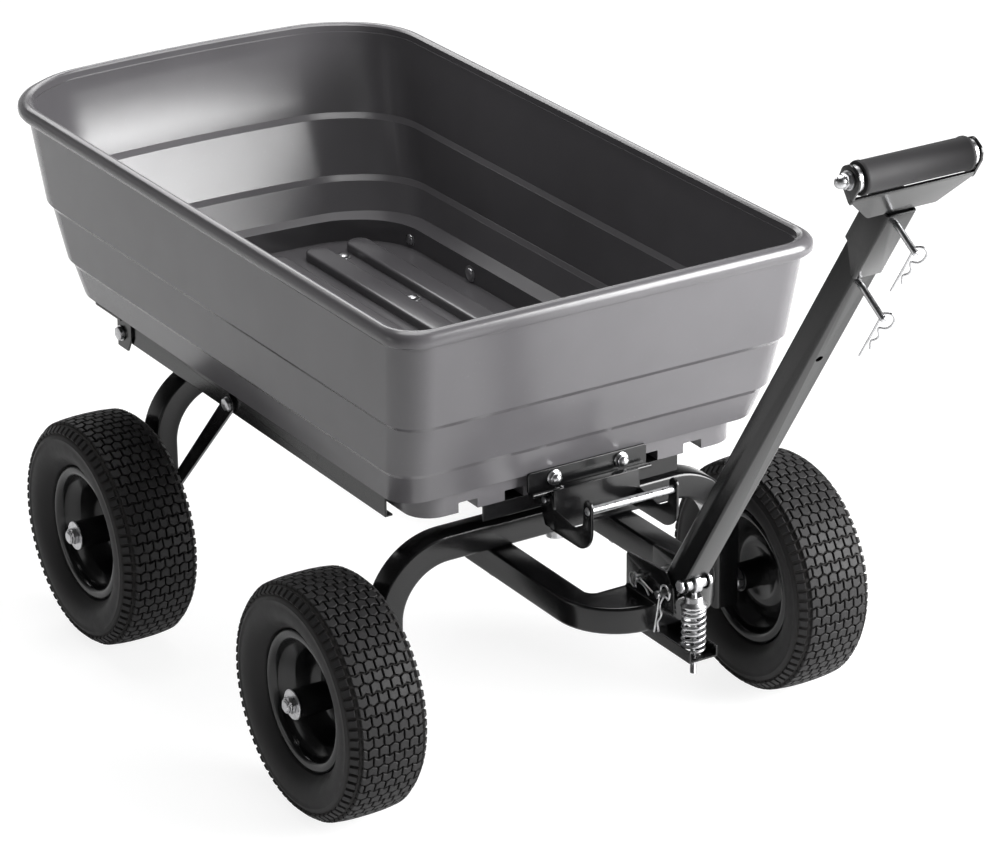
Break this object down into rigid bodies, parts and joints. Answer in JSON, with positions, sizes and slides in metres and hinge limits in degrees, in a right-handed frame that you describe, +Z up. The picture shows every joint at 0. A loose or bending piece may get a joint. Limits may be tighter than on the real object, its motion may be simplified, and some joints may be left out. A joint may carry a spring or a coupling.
{
  "type": "garden dump cart",
  "caption": "Garden cart with a moulded tipping tub, turf tyres, a steering front axle and a sprung pull handle with a turning grip.",
  "frame": {"origin": "on the floor, under the middle of the whole cart's box, with the handle at rest", "axes": "+Z up; the pull handle is at the -Y end and the tipping end of the tub at +Y; X runs along the axles, with the cart's right-hand side, seen from its handle looking back, at -X"},
  "size_m": [0.8406, 1.7892, 1.0713],
  "materials": {
    "grey_poly": "semi-gloss moulded polyethylene",
    "black_powder_coat": "gloss black powder coat",
    "bright_zinc": "bright zinc plate",
    "tyre_rubber": "matt moulded rubber",
    "grip_rubber": "matt dark grey rubber"
  },
  "bodies": {
    "chassis": {"side_rail_left": "black_powder_coat", "side_rail_right": "black_powder_coat", "front_bolster": "black_powder_coat", "rear_cross_beam": "black_powder_coat", "kingpin": "bright_zinc", "rear_axle_arch": "black_powder_coat", "rear_brace_left": "black_powder_coat", "rear_brace_right": "black_powder_coat", "brace_bolt_left": "bright_zinc", "brace_bolt_right": "bright_zinc", "rear_spindle_left": "bright_zinc", "rear_spindle_right": "bright_zinc", "hinge_bolt_left": "bright_zinc", "hinge_bolt_right": "bright_zinc", "latch_bracket": "black_powder_coat", "latch_pivot_rod": "bright_zinc"},
    "tub": {"tub": "grey_poly", "latch_plate": "black_powder_coat", "latch_plate_bolt_left": "bright_zinc", "latch_plate_bolt_right": "bright_zinc", "hinge_bracket_left": "black_powder_coat", "hinge_bracket_right": "black_powder_coat"},
    "latch": {"latch_lever": "black_powder_coat", "latch_release_bar": "bright_zinc"},
    "front_axle": {"front_axle_arch": "black_powder_coat", "steering_frame": "black_powder_coat", "frame_bolt_left": "bright_zinc", "frame_bolt_right": "bright_zinc", "handle_bracket": "black_powder_coat", "tilt_pin": "bright_zinc", "stow_pin": "bright_zinc", "tilt_pin_clip": "bright_zinc", "stow_pin_clip": "bright_zinc", "tongue_channel": "black_powder_coat", "front_spindle_left": "bright_zinc", "front_spindle_right": "bright_zinc"},
    "handle": {"handle_tube": "black_powder_coat", "spring_cross_bolt": "bright_zinc", "handle_clevis": "black_powder_coat", "grip_yoke": "black_powder_coat", "grip_bolt": "bright_zinc", "pull_pin_lower": "bright_zinc", "pull_pin_upper": "bright_zinc", "pull_clip_lower": "bright_zinc", "pull_clip_upper": "bright_zinc"},
    "spring_guide": {"spring_rod": "bright_zinc", "spring_cap": "bright_zinc", "handle_spring": "bright_zinc"},
    "grip": {"grip": "grip_rubber"},
    "front_left_wheel": {"front_left_tyre": "tyre_rubber", "front_left_rim": "black_powder_coat"},
    "front_right_wheel": {"front_right_tyre": "tyre_rubber", "front_right_rim": "black_powder_coat"},
    "rear_left_wheel": {"rear_left_tyre": "tyre_rubber", "rear_left_rim": "black_powder_coat"},
    "rear_right_wheel": {"rear_right_tyre": "tyre_rubber", "rear_right_rim": "black_powder_coat"}
  },
  "joints": [
    {"name": "tub_dump", "type": "hinge", "parent": "chassis", "child": "tub", "pos_m": [0, 0.59857, 0.405], "axis": [-1, 0, 0], "range_deg": [0, 80]},
    {"name": "latch_release", "type": "hinge", "parent": "chassis", "child": "latch", "pos_m": [0, -0.21243, 0.404], "axis": [1, 0, 0], "range_deg": [0, 22], "stiffness_Nm_per_rad": 1.5, "springref_deg": -28.65},
    {"name": "steering", "type": "hinge", "parent": "chassis", "child": "front_axle", "pos_m": [0, -0.13193, 0.356], "axis": [0, 0, 1], "range_deg": [-45, 45]},
    {"name": "handle_tilt", "type": "hinge", "parent": "front_axle", "child": "handle", "pos_m": [0, -0.42043, 0.3415], "axis": [1, 0, 0], "range_deg": [-5, 30], "deforming": ["handle_spring"]},
    {"name": "spring_guide_swing", "type": "hinge", "parent": "handle", "child": "spring_guide", "pos_m": [0, -0.45443, 0.363], "axis": [1, 0, 0], "range_deg": [-31, 6]},
    {"name": "grip_spin", "type": "hinge", "parent": "handle", "child": "grip", "pos_m": [0, -0.87407, 1.05084], "axis": [1, 0, 0], "continuous": true},
    {"name": "front_left_spin", "type": "hinge", "parent": "front_axle", "child": "front_left_wheel", "pos_m": [-0.351, -0.13193, 0.165], "axis": [1, 0, 0], "continuous": true},
    {"name": "front_right_spin", "type": "hinge", "parent": "front_axle", "child": "front_right_wheel", "pos_m": [0.351, -0.13193, 0.165], "axis": [1, 0, 0], "continuous": true},
    {"name": "rear_left_spin", "type": "hinge", "parent": "chassis", "child": "rear_left_wheel", "pos_m": [-0.351, 0.48907, 0.165], "axis": [1, 0, 0], "continuous": true},
    {"name": "rear_right_spin", "type": "hinge", "parent": "chassis", "child": "rear_right_wheel", "pos_m": [0.351, 0.48907, 0.165], "axis": [1, 0, 0], "continuous": true}
  ],
  "couplings": [
    {"joint": "spring_guide_swing", "follows": "handle_tilt", "ratio": -1}
  ]
}
